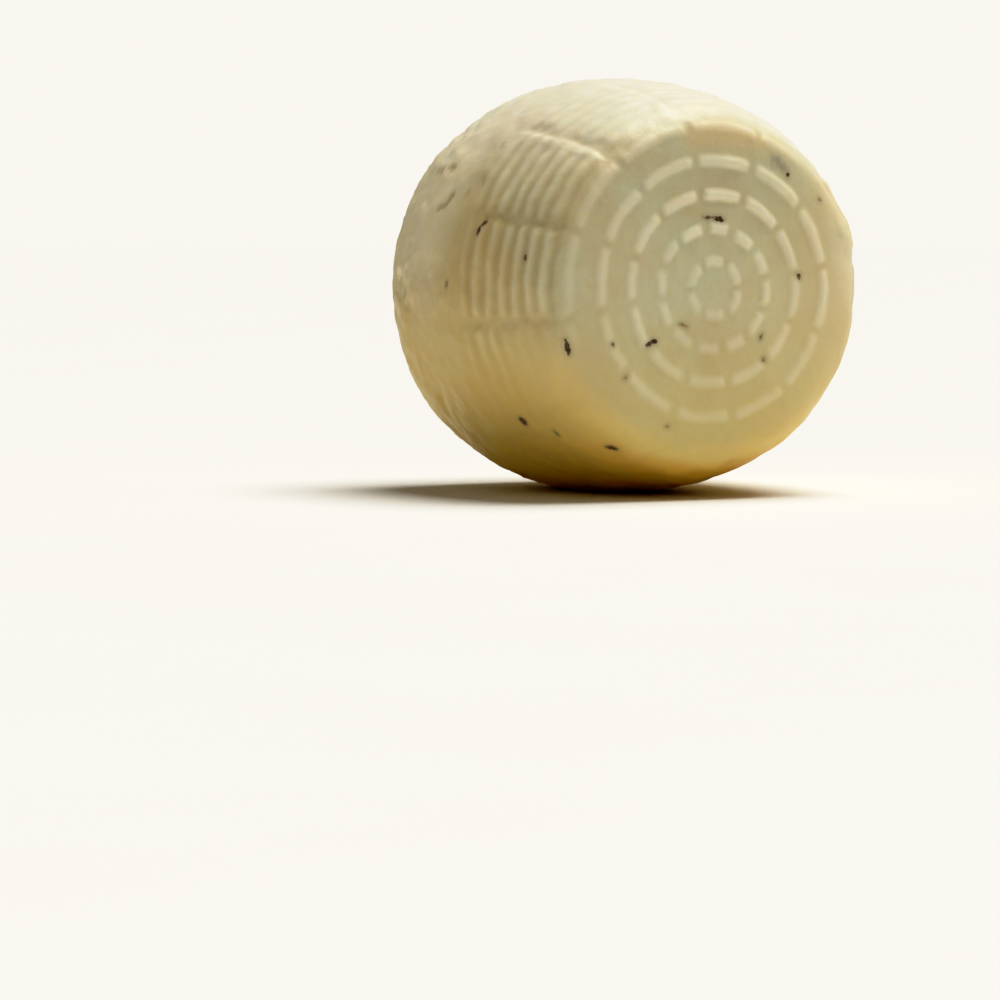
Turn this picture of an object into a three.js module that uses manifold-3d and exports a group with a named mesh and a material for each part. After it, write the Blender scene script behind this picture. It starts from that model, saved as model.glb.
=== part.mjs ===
// A small caciotta cheese lying on its side, printed all over by the basket mould that shaped it.
// Millimetres, +Z up. The cheese's axis lies along Y, and its best face looks towards -Y.
// The origin is on the surface that the cheese lies on, under the middle of its box.

import * as THREE from 'three';
import { mergeVertices } from 'three/addons/utils/BufferGeometryUtils.js';
import Module from 'manifold-3d';

const { degToRad, lerp, smoothstep, clamp } = THREE.MathUtils;

// The bare barrel has two ends, which meet at the belly. The wall of each bows in to the radius of its face,
// and a higher corner number makes a tighter edge between wall and face.
const bellyRadius = 60;
const frontEnd = { height: 60, faceRadius: 49.5, bow: 1.8, corner: 12 };
const rearEnd = { height: 46, faceRadius: 51.2, bow: 2, corner: 6 };
const restDepth = 0.9; // how far the belly has settled flat under the cheese's own weight
const lump = { height: 0.3, reach: 19 }; // the gentle unevenness of a cheese turned by hand

// The basket divides the cheese into sectors round its axis. Angles run from +X towards +Z.
const sectors = 12;
const sectorLine = degToRad(9.6);

// Rings of dashes on both faces, the smallest ring with sectors of its own
const dash = { firstRadius: 7.5, pitch: 9.4, rings: 5, width: 4.6, gap: 0.5, height: 0.85 };
const crestShare = 0.12; // share of a dash's width over which it keeps its full height
const inner = { sectors: 6, line: degToRad(61), strength: 0.75 };
const rearStrength = 0.8; // the rear face was pressed less

// Panels of ribs round the front of the wall: a low wave, partly below the bare wall, whose pitch grows by
// twice the stretch from rib to rib towards the rear. A groove runs between each two panels, wider before the
// sector line than after it.
const rib = {
  front: 53.3, pitch: 4.45, stretch: 0.17, count: 7, gap: 1.2, taper: 2.3, height: 0.42, sunk: 0.6,
};
const groove = { before: 4.4, after: 3.4, depth: 0.5 };

// Where the print is worn, as [from, to, strength up to the first, strength beyond the second]. Ribs and
// grooves go by the height round the cheese, from -1 to 1, and the others by millimetres from the axis. Low
// down, the ribs are worn at the front first, by millimetres in front of the belly.
const worn = {
  dashUp: [-42, 28, 0.52, 1],
  dashAside: [10, 38, 1, 0.65],
  outerRingAside: [6, 24, 0, 0.9],
  ribLow: [-0.6, -0.05, 0.1, 1],
  ribLowFront: [-0.3, -0.12, 0.15, 1],
  ribFront: [34, 42, 1, 0],
  ribTop: [0.6, 0.9, 1, 0.15],
  grooveLow: [-0.4, 0.2, 0.2, 1],
  grooveTop: [0.8, 0.98, 1, 0.3],
  grooveRight: [0, 30, 1, 0.35],
};
const asideAngle = degToRad(145); // the way to the upper left of the best face
const outerAngle = degToRad(125); // the way to where the outermost ring shows best

// Truffle flecks that show on the best face and on the wall beside it, as [angle in degrees, radius on the
// face or distance in front of the belly, length, width, turn in degrees from the way round]
const faceFlecks = [
  [89, 19.6, 6.6, 2, -6],
  [-143, 24.6, 3.8, 2.2, 88],
  [-133, 13.8, 3.4, 1.7, 25],
  [-41, 20.7, 2.4, 1.3, 21],
  [6.7, 28.1, 2.4, 1.8, -6],
  [52.7, 40.2, 2.2, 1.8, -18],
  [-154.6, 35.3, 2, 1.8, 0],
  [35.3, 43.1, 1.6, 1.4, 0],
  [-50.8, 25.8, 1.8, 1.5, 30],
  [-138.8, 36.9, 1.6, 1.3, 60],
  [-110.5, 40.6, 1.6, 1.3, 0],
];
const wallFlecks = [
  [-160.4, 57.4, 5.2, 1.8, -4],
  [-121.3, 50.2, 4.3, 2.5, 35],
  [-139.5, 29.4, 3.3, 3, -25],
  [-133.2, 38.7, 2.9, 1.5, 2],
  [170.6, 47.1, 2.4, 2, 20],
  [179.1, 13.2, 2.4, 1.2, -18],
  [161.6, 27, 2.8, 1.8, -50],
  [163.7, 25.7, 3.6, 1.7, -10],
];
const fleck = { halfDepth: 1, proud: 0.25 };

// More flecks over the far wall and the rear face, drawn by a seeded rule
const scatter = {
  seed: 2024,
  wall: { count: 15, fromAngle: -76, toAngle: 58, fromAxial: -34, toAxial: 46 },
  rear: { count: 7, fromRadius: 6, toRadius: 44 },
  length: { least: 1.9, spread: 3.2 },
  slimness: { least: 0.4, spread: 0.35 },
};

// Small dents in the wall, then raised seams, in the same form as the flecks
const wallDents = [
  [145.3, -4, 3.6, 2.6, 75],
  [146.2, -10.6, 4.6, 2.8, 95],
  [155.4, 5, 4.4, 2.8, -25],
  [157.6, 2.2, 4.8, 2.8, -70],
  [149.2, 18, 2.2, 1.6, 40],
  [137.6, 16.6, 2.4, 1.6, 70],
  [153, 13.5, 2, 1.5, 20],
];
const dentDepth = 0.45;
const wallSeams = [
  [172, -14.3, 17, 3.4, 18],
  [185, -13.2, 13, 3.4, -15],
  [184, -24, 5, 3.4, 0],
];
const seamHeight = 0.35;

// How finely the surface is divided: across a dash and across a sector, as shares of their widths, from rib
// to rib, and along the plain part of the wall, as distances in front of the belly
const dashSteps = [-0.5, -0.15, 0.15, 0.5];
const sectorSteps = [0, 0.1, 0.25, 0.5, 0.75, 0.9];
const ribSteps = 2;
const plainWall = [-37, -33, -28, -22, -15, -7, 1, 7, 12.5];
const chipSides = { round: 6, down: 4 };
const weldDistance = 1e-4;

const middleAxial = (frontEnd.height - rearEnd.height) / 2;
const axisHeight = bellyRadius - restDepth;
const columns = sectors * sectorSteps.length;

const wasm = await Module();
wasm.setup();

function endOf(axial) {
  return axial >= 0 ? frontEnd : rearEnd;
}

// Radius of the barrel's wall at a share of the way from the belly to an end, before the corner is rounded
function wallRadius(end, share) {
  return bellyRadius - (bellyRadius - end.faceRadius) * share ** end.bow;
}

// A point of the bare outline on the wall: x is its radius, and y its distance in front of the belly
function onWall(axial) {
  const end = endOf(axial);
  const share = Math.abs(axial) / end.height;
  return new THREE.Vector2(wallRadius(end, share) * (1 - share ** end.corner) ** (1 / end.corner), axial);
}

// A point of the bare outline on a face, found from its radius by closing in on its height
function onFace(end, radius) {
  const rounds = 6;
  let share = 1;
  for (let i = 0; i < rounds; i++) {
    share = (1 - (radius / wallRadius(end, share)) ** end.corner) ** (1 / end.corner);
  }
  return new THREE.Vector2(radius, (end === frontEnd ? 1 : -1) * share * end.height);
}

// Outward direction of the bare outline, from the slopes of its formula
function outlineNormal(point) {
  const end = endOf(point.y);
  const share = Math.abs(point.y) / end.height;
  const wall = wallRadius(end, share);
  const taper = (bellyRadius - end.faceRadius) * end.bow * share ** (end.bow - 1) / end.height;
  const outward = (point.x / wall) ** (end.corner - 1) / wall;
  const along = share ** (end.corner - 1) / end.height + outward * point.x / wall * taper;
  return new THREE.Vector2(outward, along * Math.sign(point.y)).normalize();
}

// Angle from the middle of the sector that an angle falls in
function fromSectorMiddle(angle, count, line) {
  const turns = (angle - line) / (2 * Math.PI) * count;
  return (turns - Math.floor(turns) - 0.5) * 2 * Math.PI / count;
}

// Distance round the wall from the nearest sector line
function fromLine(angle, point) {
  return (Math.PI / sectors - Math.abs(fromSectorMiddle(angle, sectors, sectorLine))) * point.x;
}

// Strength of the print where it is worn
function wear(value, [from, to, first, last]) {
  return lerp(first, last, smoothstep(value, from, to));
}

function dashRadius(ring) {
  return dash.firstRadius + ring * dash.pitch;
}

// Height of a round-ended dash, as a share, at distances across it and along it from its middle
function dashShape(across, along, halfLength) {
  const pastCore = Math.max(0, Math.abs(along) - (halfLength - dash.width / 2));
  return 1 - smoothstep(Math.hypot(across, pastCore), crestShare * dash.width / 2, dash.width / 2);
}

function dashHeight(angle, point) {
  const ring = clamp(Math.round((point.x - dash.firstRadius) / dash.pitch), 0, dash.rings - 1);
  const radius = dashRadius(ring);
  const isInner = ring === 0;
  const count = isInner ? inner.sectors : sectors;
  const along = fromSectorMiddle(angle, count, isInner ? inner.line : sectorLine) * radius;
  const halfLength = (2 * Math.PI / count * radius - dash.gap) / 2;
  const aside = point.x * Math.cos(angle - asideAngle);
  let strength = wear(point.x * Math.sin(angle), worn.dashUp) * wear(aside, worn.dashAside);
  if (isInner) strength *= inner.strength;
  if (ring === dash.rings - 1) strength *= wear(point.x * Math.cos(angle - outerAngle), worn.outerRingAside);
  if (point.y < 0) strength *= rearStrength;
  return strength * dash.height * dashShape(point.x - radius, along, halfLength);
}

// Distance in front of the belly of a rib's crest, by its number from the best face, and the other way about
function ribAxial(number) {
  return rib.front - rib.pitch * number - rib.stretch * number ** 2;
}

function ribNumber(axial) {
  const square = rib.pitch ** 2 + 4 * rib.stretch * (rib.front - axial);
  return (Math.sqrt(square) - rib.pitch) / (2 * rib.stretch);
}

// The panels start before the first rib and run out over the last
function inPanel(axial) {
  if (axial < 0) return 0;
  const number = ribNumber(axial);
  return smoothstep(number, -1, -0.5) * (1 - smoothstep(number, rib.count - 1.5, rib.count - 0.5));
}

function ribHeight(angle, point) {
  const wave = (1 + Math.cos(2 * Math.PI * ribNumber(point.y))) / 2;
  const ribbed = smoothstep(fromLine(angle, point), rib.gap / 2, rib.gap / 2 + rib.taper);
  const up = Math.sin(angle);
  const ahead = Math.max(wear(point.y, worn.ribFront), wear(up, worn.ribLowFront));
  const strength = ahead * wear(up, worn.ribLow) * wear(up, worn.ribTop);
  return strength * rib.height * (wave * ribbed - rib.sunk);
}

function grooveDepth(angle, point) {
  const isBefore = fromSectorMiddle(angle, sectors, sectorLine) > 0;
  const across = smoothstep(fromLine(angle, point), 0, isBefore ? groove.before : groove.after);
  const up = Math.sin(angle);
  const round = wear(up, worn.grooveLow) * wear(up, worn.grooveTop);
  return round * wear(point.x * Math.cos(angle), worn.grooveRight) * groove.depth * (1 - across);
}

function lumpHeight(angle, point) {
  const slow = Math.sin(2 * angle + point.y / lump.reach);
  const quick = Math.cos(3 * angle - point.y / lump.reach);
  return lump.height * (slow + quick) * point.x / bellyRadius;
}

// The printed surface above the bare outline: ribs and grooves on the wall, dashes on the faces
function reliefHeight(angle, point) {
  const outermost = dashRadius(dash.rings - 1) + dash.width / 2;
  const panel = inPanel(point.y);
  let printed = 0;
  if (point.x <= outermost) printed = dashHeight(angle, point);
  else if (panel > 0) printed = panel * (ribHeight(angle, point) - grooveDepth(angle, point));
  return printed + lumpHeight(angle, point);
}

// A place on the cheese, from an angle round the axis and a point of the bare outline
function surfacePoint(angle, point) {
  const raised = outlineNormal(point).multiplyScalar(reliefHeight(angle, point)).add(point);
  return new THREE.Vector3(
    raised.x * Math.cos(angle),
    middleAxial - raised.y,
    axisHeight + raised.x * Math.sin(angle),
  );
}

// The outline's points from the middle of the rear face to the middle of the best one, closest where the
// relief needs them
function outlineRows() {
  const radii = [];
  for (let ring = 0; ring < dash.rings; ring++) {
    radii.push(...dashSteps.map((step) => dashRadius(ring) + step * dash.width));
  }
  const axials = [];
  for (let step = rib.count * ribSteps - 1; step >= -1; step--) axials.push(ribAxial(step / ribSteps));
  return [
    new THREE.Vector2(0, -rearEnd.height),
    ...radii.map((radius) => onFace(rearEnd, radius)),
    ...[...plainWall, ...axials].map(onWall),
    ...radii.reverse().map((radius) => onFace(frontEnd, radius)),
    new THREE.Vector2(0, frontEnd.height),
  ];
}

function columnAngle(column) {
  const sector = Math.floor(column / sectorSteps.length) % sectors;
  return sectorLine + (sector + sectorSteps[column % sectorSteps.length]) * 2 * Math.PI / sectors;
}

// The barrel turned from its outline, with each point moved to the printed surface
function barrelGeometry() {
  const rows = outlineRows();
  const geometry = new THREE.LatheGeometry(rows, columns);
  const position = geometry.attributes.position;
  for (let column = 0; column <= columns; column++) {
    rows.forEach((row, index) => {
      const place = surfacePoint(columnAngle(column), row);
      position.setXYZ(column * rows.length + index, place.x, place.y, place.z);
    });
  }
  return geometry;
}

// A flat rounded chip lying in the surface, its middle lifted by a distance along the outward direction
function chipGeometry({ angle, point, length, width, turn }, halfDepth, lift) {
  const flat = outlineNormal(point);
  const outward = new THREE.Vector3(flat.x * Math.cos(angle), -flat.y, flat.x * Math.sin(angle));
  const round = new THREE.Vector3(-Math.sin(angle), 0, Math.cos(angle));
  const forward = new THREE.Vector3().crossVectors(outward, round);
  const place = surfacePoint(angle, point).addScaledVector(outward, lift);
  const geometry = new THREE.SphereGeometry(1, chipSides.round, chipSides.down);
  geometry.rotateX(Math.PI / 2);
  geometry.scale(length / 2, width / 2, halfDepth);
  geometry.rotateZ(turn);
  geometry.applyMatrix4(new THREE.Matrix4().makeBasis(round, forward, outward).setPosition(place));
  return geometry;
}

function chip([angle, place, length, width, turn], outlinePoint) {
  return { angle: degToRad(angle), point: outlinePoint(place), length, width, turn: degToRad(turn) };
}

// Draws between 0 and 1 that are the same each time
function seededDraws(seed) {
  const modulus = 2 ** 32;
  const factor = 1664525;
  const step = 1013904223;
  let state = seed;
  return () => {
    state = (state * factor + step) % modulus;
    return state / modulus;
  };
}

function scatteredChips() {
  const draw = seededDraws(scatter.seed);
  const size = () => {
    const length = scatter.length.least + scatter.length.spread * draw() ** 2;
    const width = length * (scatter.slimness.least + scatter.slimness.spread * draw());
    return { length, width, turn: draw() * Math.PI };
  };
  const { wall, rear } = scatter;
  const chips = [];
  for (let i = 0; i < wall.count; i++) {
    const angle = degToRad(lerp(wall.fromAngle, wall.toAngle, (i + draw()) / wall.count));
    chips.push({ angle, point: onWall(lerp(wall.fromAxial, wall.toAxial, draw())), ...size() });
  }
  for (let i = 0; i < rear.count; i++) {
    const angle = 2 * Math.PI * (i + draw()) / rear.count;
    const radius = lerp(rear.fromRadius, rear.toRadius, Math.sqrt(draw()));
    chips.push({ angle, point: onFace(rearEnd, radius), ...size() });
  }
  return chips;
}

// A closed solid from a geometry: shared points are welded, and the slivers at its poles dropped
function toSolid(geometry) {
  geometry.deleteAttribute('normal');
  geometry.deleteAttribute('uv');
  const welded = mergeVertices(geometry, weldDistance);
  const corners = welded.index.array;
  const triangles = [];
  for (let i = 0; i < corners.length; i += 3) {
    const [a, b, c] = corners.slice(i, i + 3);
    if (a !== b && b !== c && c !== a) triangles.push(a, b, c);
  }
  const vertProperties = welded.attributes.position.array;
  const triVerts = Uint32Array.from(triangles);
  return new wasm.Manifold(new wasm.Mesh({ numProp: 3, vertProperties, triVerts }));
}

function toGeometry(solid) {
  const { vertProperties, triVerts } = solid.getMesh();
  const geometry = new THREE.BufferGeometry();
  geometry.setAttribute('position', new THREE.BufferAttribute(vertProperties, 3));
  geometry.setIndex(new THREE.BufferAttribute(triVerts, 1));
  geometry.computeVertexNormals();
  return geometry;
}

// The whole cheese: flecks and seams are fused on, dents pressed in, and the underside is settled flat
function cheeseGeometry() {
  const shown = [
    ...faceFlecks.map((mark) => chip(mark, (radius) => onFace(frontEnd, radius))),
    ...wallFlecks.map((mark) => chip(mark, onWall)),
  ];
  let cheese = toSolid(barrelGeometry());
  for (const mark of [...shown, ...scatteredChips()]) {
    cheese = cheese.add(toSolid(chipGeometry(mark, fleck.halfDepth, fleck.proud - fleck.halfDepth)));
  }
  for (const mark of wallSeams) {
    const seam = chipGeometry(chip(mark, onWall), fleck.halfDepth, seamHeight - fleck.halfDepth);
    cheese = cheese.add(toSolid(seam));
  }
  for (const mark of wallDents) {
    cheese = cheese.subtract(toSolid(chipGeometry(chip(mark, onWall), dentDepth, 0)));
  }
  const side = 4 * bellyRadius;
  cheese = cheese.subtract(toSolid(new THREE.BoxGeometry(side, side, side).translate(0, 0, -side / 2)));
  const geometry = toGeometry(cheese);
  geometry.computeBoundingBox();
  const middle = geometry.boundingBox.getCenter(new THREE.Vector3());
  return geometry.translate(-middle.x, -middle.y, 0);
}

const caciotta = new THREE.Mesh(
  cheeseGeometry(),
  new THREE.MeshStandardMaterial({ color: 0xd9cc96, roughness: 0.5, metalness: 0 }),
);
caciotta.name = 'caciotta';

const part = new THREE.Group();
part.add(caciotta);

export default part;
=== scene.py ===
import math
import bpy
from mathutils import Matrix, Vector


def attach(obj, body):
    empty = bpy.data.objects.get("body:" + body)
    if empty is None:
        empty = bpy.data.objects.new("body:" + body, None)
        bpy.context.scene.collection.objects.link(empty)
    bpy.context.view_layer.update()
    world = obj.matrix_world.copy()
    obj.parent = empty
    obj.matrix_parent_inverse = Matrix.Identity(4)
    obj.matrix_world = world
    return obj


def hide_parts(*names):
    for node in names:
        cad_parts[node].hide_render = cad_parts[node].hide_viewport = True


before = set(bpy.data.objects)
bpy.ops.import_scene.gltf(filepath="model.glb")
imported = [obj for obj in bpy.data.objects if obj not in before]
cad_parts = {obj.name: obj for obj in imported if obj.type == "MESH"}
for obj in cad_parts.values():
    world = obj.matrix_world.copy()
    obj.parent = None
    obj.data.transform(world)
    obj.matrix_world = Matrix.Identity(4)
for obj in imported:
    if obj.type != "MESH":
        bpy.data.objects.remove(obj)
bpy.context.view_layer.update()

mm = 0.001
noiseMean = 0.5
mathNode = "ShaderNodeMath"
vectorNode = "ShaderNodeVectorMath"
rangeNode = "ShaderNodeMapRange"
noiseNode = "ShaderNodeTexNoise"
mixNode = "ShaderNodeMix"
switchNode = "GeometryNodeSwitch"
compareNode = "FunctionNodeCompare"
placeNode = "GeometryNodeInputPosition"
moveNode = "GeometryNodeSetPosition"
storeNode = "GeometryNodeStoreNamedAttribute"
smooth = {"interpolation_type": "SMOOTHSTEP"}
onPoints = {"data_type": "FLOAT", "domain": "POINT"}
colourMix = {"data_type": "RGBA", "pick": 2}             # a Mix node's colour output
colourA, colourB = 6, 7                                  # and its two colour inputs
socketKinds = {float: "NodeSocketFloat", int: "NodeSocketInt", bpy.types.Object: "NodeSocketObject",
               bpy.types.Material: "NodeSocketMaterial"}


def hexColour(code):
    # sRGB hex to the linear values that Blender's sockets take
    parts = [int(code[i:i + 2], 16) / 255 for i in (1, 3, 5)]
    return [p / 12.92 if p <= 0.04045 else ((p + 0.055) / 1.055) ** 2.4 for p in parts] + [1.0]


def addNode(tree, kind, feeds=(), pick=0, **settings):
    # feeds are values or other nodes' outputs, in the order of the node's inputs or by name
    node = tree.nodes.new(kind)
    for name, value in settings.items():
        setattr(node, name, value)
    for key, feed in (feeds.items() if isinstance(feeds, dict) else enumerate(feeds)):
        if isinstance(feed, bpy.types.NodeSocket):
            tree.links.new(feed, node.inputs[key])
        elif feed is not None:
            node.inputs[key].default_value = feed
    return node.outputs[pick] if node.outputs else node


def startTree(name, takes):
    # a Geometry Nodes tree from mesh to mesh, with one named input for each setting
    tree = bpy.data.node_groups.new(name, "GeometryNodeTree")
    for way in ("INPUT", "OUTPUT"):
        tree.interface.new_socket("Mesh", in_out=way, socket_type="NodeSocketGeometry")
    for label, value in takes.items():
        tree.interface.new_socket(label, in_out="INPUT", socket_type=socketKinds[type(value)])
    return tree, tree.nodes.new("NodeGroupInput").outputs


def bakeTree(piece, tree, settings):
    # runs the tree on the piece and keeps the result as a plain mesh
    modifier = piece.modifiers.new(tree.name, "NODES")
    modifier.node_group = tree
    for item in tree.interface.items_tree:
        if item.in_out == "INPUT" and item.name in settings:
            modifier[item.identifier] = settings[item.name]
    bpy.context.view_layer.update()
    depsgraph = bpy.context.evaluated_depsgraph_get()
    mesh = bpy.data.meshes.new_from_object(piece.evaluated_get(depsgraph), preserve_all_data_layers=True,
                                           depsgraph=depsgraph)
    piece.modifiers.clear()
    old = piece.data
    piece.data = mesh
    mesh.name = piece.name
    bpy.data.meshes.remove(old)


def newPiece(name, points=(), edges=()):
    mesh = bpy.data.meshes.new(name)
    mesh.from_pydata(points, edges, [])
    piece = bpy.data.objects.new(name, mesh)
    bpy.context.scene.collection.objects.link(piece)
    return piece


def startMaterial(name):
    material = bpy.data.materials.new(name)
    material.use_nodes = True
    material.node_tree.nodes.clear()
    return material, material.node_tree


# Materials

rind = {
    "cream": "#d9d6b5", "straw": "#d8c9a3", "tan": "#cdb98e",
    # noise: size in mm, detail, roughness
    "patterns": {"cloud": (26.0, 3.0, 0.55), "mottle": (3.2, 3.0, 0.6), "grain": (0.9, 4.0, 0.65)},
    # noise from and to, and the value at each
    "strawShare": (0.35, 0.68, 0.0, 0.8), "tanShare": (0.4, 0.75, 0.0, 0.25),
    "roughness": (0.3, 0.7, 0.4, 0.54),
    "bumps": {"grain": (0.5, 0.14 * mm), "mottle": (0.4, 0.4 * mm)},         # strength, depth
    "ior": 1.42, "translucency": 0.7, "lightReach": (1.0, 0.72, 0.32), "lightDepth": 1.0 * mm,
}
# colours laid over these in turn: how strongly, then where each starts and where it is full. right, back and
# up are places on the cheese, left and sky are ways that it faces, and the rest are its print and its marks
# several layers are painted light and shade: warm bounce and shade below and at the left, highlights above
# and at the right
rindLayers = {
    "blush": ("#ecdaa8", 0.6, ("right", 0.0, 42 * mm), ("up", 108 * mm, 82 * mm)),
    "paintedWarmBounce": ("#e2ca74", 0.62, ("up", 56 * mm, 16 * mm)),       # painted warm bounce light, yellower towards where it lies
    # painted shade: darker yellow where the wall faces left and not up
    "paintedLeftShade": ("#d6b45a", 0.55, ("left", 0.2, 0.9), ("sky", 0.7, 0.0), ("back", -62 * mm, -24 * mm)),
    "rear": ("#f1e5c3", 0.8, ("back", -9 * mm, 5 * mm), ("left", 0.1, 0.5),
             ("sky", -0.15, 0.15), ("sky", 1.0, 0.7)),
    # painted shade with warm bounce light on what faces down, strongest straight down
    "under": ("#e2be48", 0.4, ("sky", -0.2, -0.8)),
    "paintedDeepShade": ("#eeb642", 0.85, ("sky", -0.7, -1.0)),
    "upper": ("#f7f2e2", 0.7, ("sky", 0.55, 0.97)),              # painted highlight on what faces up
    # painted highlight at the right, where the cheese faces up
    "pale": ("#fdf8f0", 0.5, ("right", 12 * mm, 34 * mm), ("sky", 0.3, 0.7)),
    # painted rim light along the right edge of the face
    "rim": ("#fbf3dc", 0.45, ("right", 36 * mm, 46 * mm), ("back", -38 * mm, -48 * mm),
            ("up", 50 * mm, 68 * mm)),
    "band": ("#ebcb93", 0.5, ("back", -49.5 * mm, -52 * mm), ("up", 95 * mm, 100 * mm),
             ("right", -12 * mm, -6 * mm)),
    # painted shade on the upper face between the dashes
    "paintedFaceShade": ("#a19e84", 0.2, ("back", -49.5 * mm, -52 * mm), ("up", 60 * mm, 92 * mm),
               ("print", 0.4, 0.0)),
    "crest": ("#f6f2dc", 0.64, ("print", 0.05, 1.05)),           # what the basket pressed out is rubbed pale, with a painted highlight on its crests
    # painted shade in the troughs between ribs and along the grooves
    "paintedHollowShade": ("#ae9761", 0.42, ("print", 0.05, -0.6)),
    # dents and pits are yellow-brown, with painted shade inside them
    "dent": ("#9a741c", 0.45, ("dent", 0.0, 1.0)),
    "pit": ("#9a741c", 0.2, ("pit", 0.0, 1.0)),
    "smear": ("#7c766f", 0.6, ("smear", 0.0, 1.0)),              # a shaving just under the rind
    "stain": ("#7c6a50", 1.0, ("stain", 0.0, 1.0)),
}


def makeRind():
    # young caciotta rind, pressed in a basket and washed smooth: a soft waxy sheen over a paste that light
    # enters by a millimetre or two, cream with clouds of straw and tan, with painted light and shade laid
    # over it
    material, tree = startMaterial("caciotta rind, basket-pressed and washed")
    place = addNode(tree, "ShaderNodeTexCoord", pick="Object")
    noise = {}
    for label, (size, detail, rough) in rind["patterns"].items():
        noise[label] = addNode(tree, noiseNode, {"Vector": place, "Scale": 1 / (size * mm), "Detail": detail,
                                                 "Roughness": rough})
    colour = hexColour(rind["cream"])
    for label, pattern in (("straw", "cloud"), ("tan", "mottle")):
        share = addNode(tree, rangeNode, (noise[pattern], *rind[label + "Share"]), **smooth)
        colour = addNode(tree, mixNode, {"Factor": share, colourA: colour, colourB: hexColour(rind[label])},
                         **colourMix)
    part = addNode(tree, "ShaderNodeSeparateXYZ", (place,)).node.outputs
    lookUp = {"right": part["X"], "back": part["Y"], "up": part["Z"]}
    for label in ("sky", "left", "print", "dent", "pit", "smear", "stain"):
        lookUp[label] = addNode(tree, "ShaderNodeAttribute", attribute_name=label, pick="Fac")
    for code, share, *ranges in rindLayers.values():
        for label, start, full in ranges:
            near = addNode(tree, rangeNode, (lookUp[label], start, full, 0.0, 1.0))
            share = addNode(tree, mathNode, (share, near), operation="MULTIPLY")
        colour = addNode(tree, mixNode, {"Factor": share, colourA: colour, colourB: hexColour(code)},
                         **colourMix)
    rough = addNode(tree, rangeNode, (noise["mottle"], *rind["roughness"]))
    bump = None
    for label, (strength, depth) in rind["bumps"].items():
        bump = addNode(tree, "ShaderNodeBump", {"Strength": strength, "Distance": depth,
                                                "Height": noise[label], "Normal": bump})
    shader = addNode(tree, "ShaderNodeBsdfPrincipled", {
        "Base Color": colour, "Roughness": rough, "Normal": bump, "IOR": rind["ior"],
        "Subsurface Weight": rind["translucency"], "Subsurface Radius": rind["lightReach"],
        "Subsurface Scale": rind["lightDepth"]})
    addNode(tree, "ShaderNodeOutputMaterial", {"Surface": shader})
    return material


truffle = {
    "dark": "#392717", "brown": "#6e5339", "covered": "#b8a274", "roughness": 0.55,
    "crackMm": 0.8, "crackDetail": 3.0, "bump": (0.6, 0.15 * mm),            # bump: strength, depth
    # from and to, and the value at each: what rim and cracks add to the fading, and what the fading shows
    "rimFade": (0.55, 1.0, 0.0, 0.7), "crackFade": (0.35, 0.7, -0.15, 0.35),
    "brownShare": (0.0, 0.5, 0.0, 1.0), "coveredShare": (0.5, 1.2, 0.0, 1.0),
}


def makeTruffle():
    # shaved black truffle, pressed into the paste: dark brown, and paler towards its edge, where cheese
    # covers it
    material, tree = startMaterial("black truffle, shaved")
    place = addNode(tree, "ShaderNodeTexCoord", pick="Object")
    crack = addNode(tree, noiseNode, {"Vector": place, "Scale": 1 / (truffle["crackMm"] * mm),
                                      "Detail": truffle["crackDetail"]})
    faded = addNode(tree, "ShaderNodeAttribute", attribute_name="fade", pick="Fac")
    rim = addNode(tree, "ShaderNodeAttribute", attribute_name="rim", pick="Fac")
    for source, label in ((rim, "rimFade"), (crack, "crackFade")):
        more = addNode(tree, rangeNode, (source, *truffle[label]))
        faded = addNode(tree, mathNode, (faded, more), operation="ADD")
    colour = hexColour(truffle["dark"])
    for label in ("brown", "covered"):
        share = addNode(tree, rangeNode, (faded, *truffle[label + "Share"]))
        colour = addNode(tree, mixNode, {"Factor": share, colourA: colour,
                                         colourB: hexColour(truffle[label])}, **colourMix)
    strength, depth = truffle["bump"]
    bump = addNode(tree, "ShaderNodeBump", {"Strength": strength, "Distance": depth, "Height": crack})
    shader = addNode(tree, "ShaderNodeBsdfPrincipled", {"Base Color": colour, "Normal": bump,
                                                        "Roughness": truffle["roughness"]})
    addNode(tree, "ShaderNodeOutputMaterial", {"Surface": shader})
    return material


floorLook = {"pale": "#f1f0ec", "shade": "#efede8", "mottleMm": 90.0, "roughness": 0.8,
             "reach": 40.0, "corners": 128}


def makeBoard():
    # matt painted board, rolled: plain and pale, with the faintest clouding
    material, tree = startMaterial("painted board, matt")
    place = addNode(tree, "ShaderNodeTexCoord", pick="Object")
    mottle = addNode(tree, noiseNode, {"Vector": place, "Scale": 1 / (floorLook["mottleMm"] * mm)})
    colour = addNode(tree, mixNode, {"Factor": mottle, colourA: hexColour(floorLook["pale"]),
                                     colourB: hexColour(floorLook["shade"])}, **colourMix)
    shader = addNode(tree, "ShaderNodeBsdfPrincipled", {"Base Color": colour,
                                                        "Roughness": floorLook["roughness"]})
    addNode(tree, "ShaderNodeOutputMaterial", {"Surface": shader})
    return material


# The cheese: a barrel printed by its basket

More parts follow.
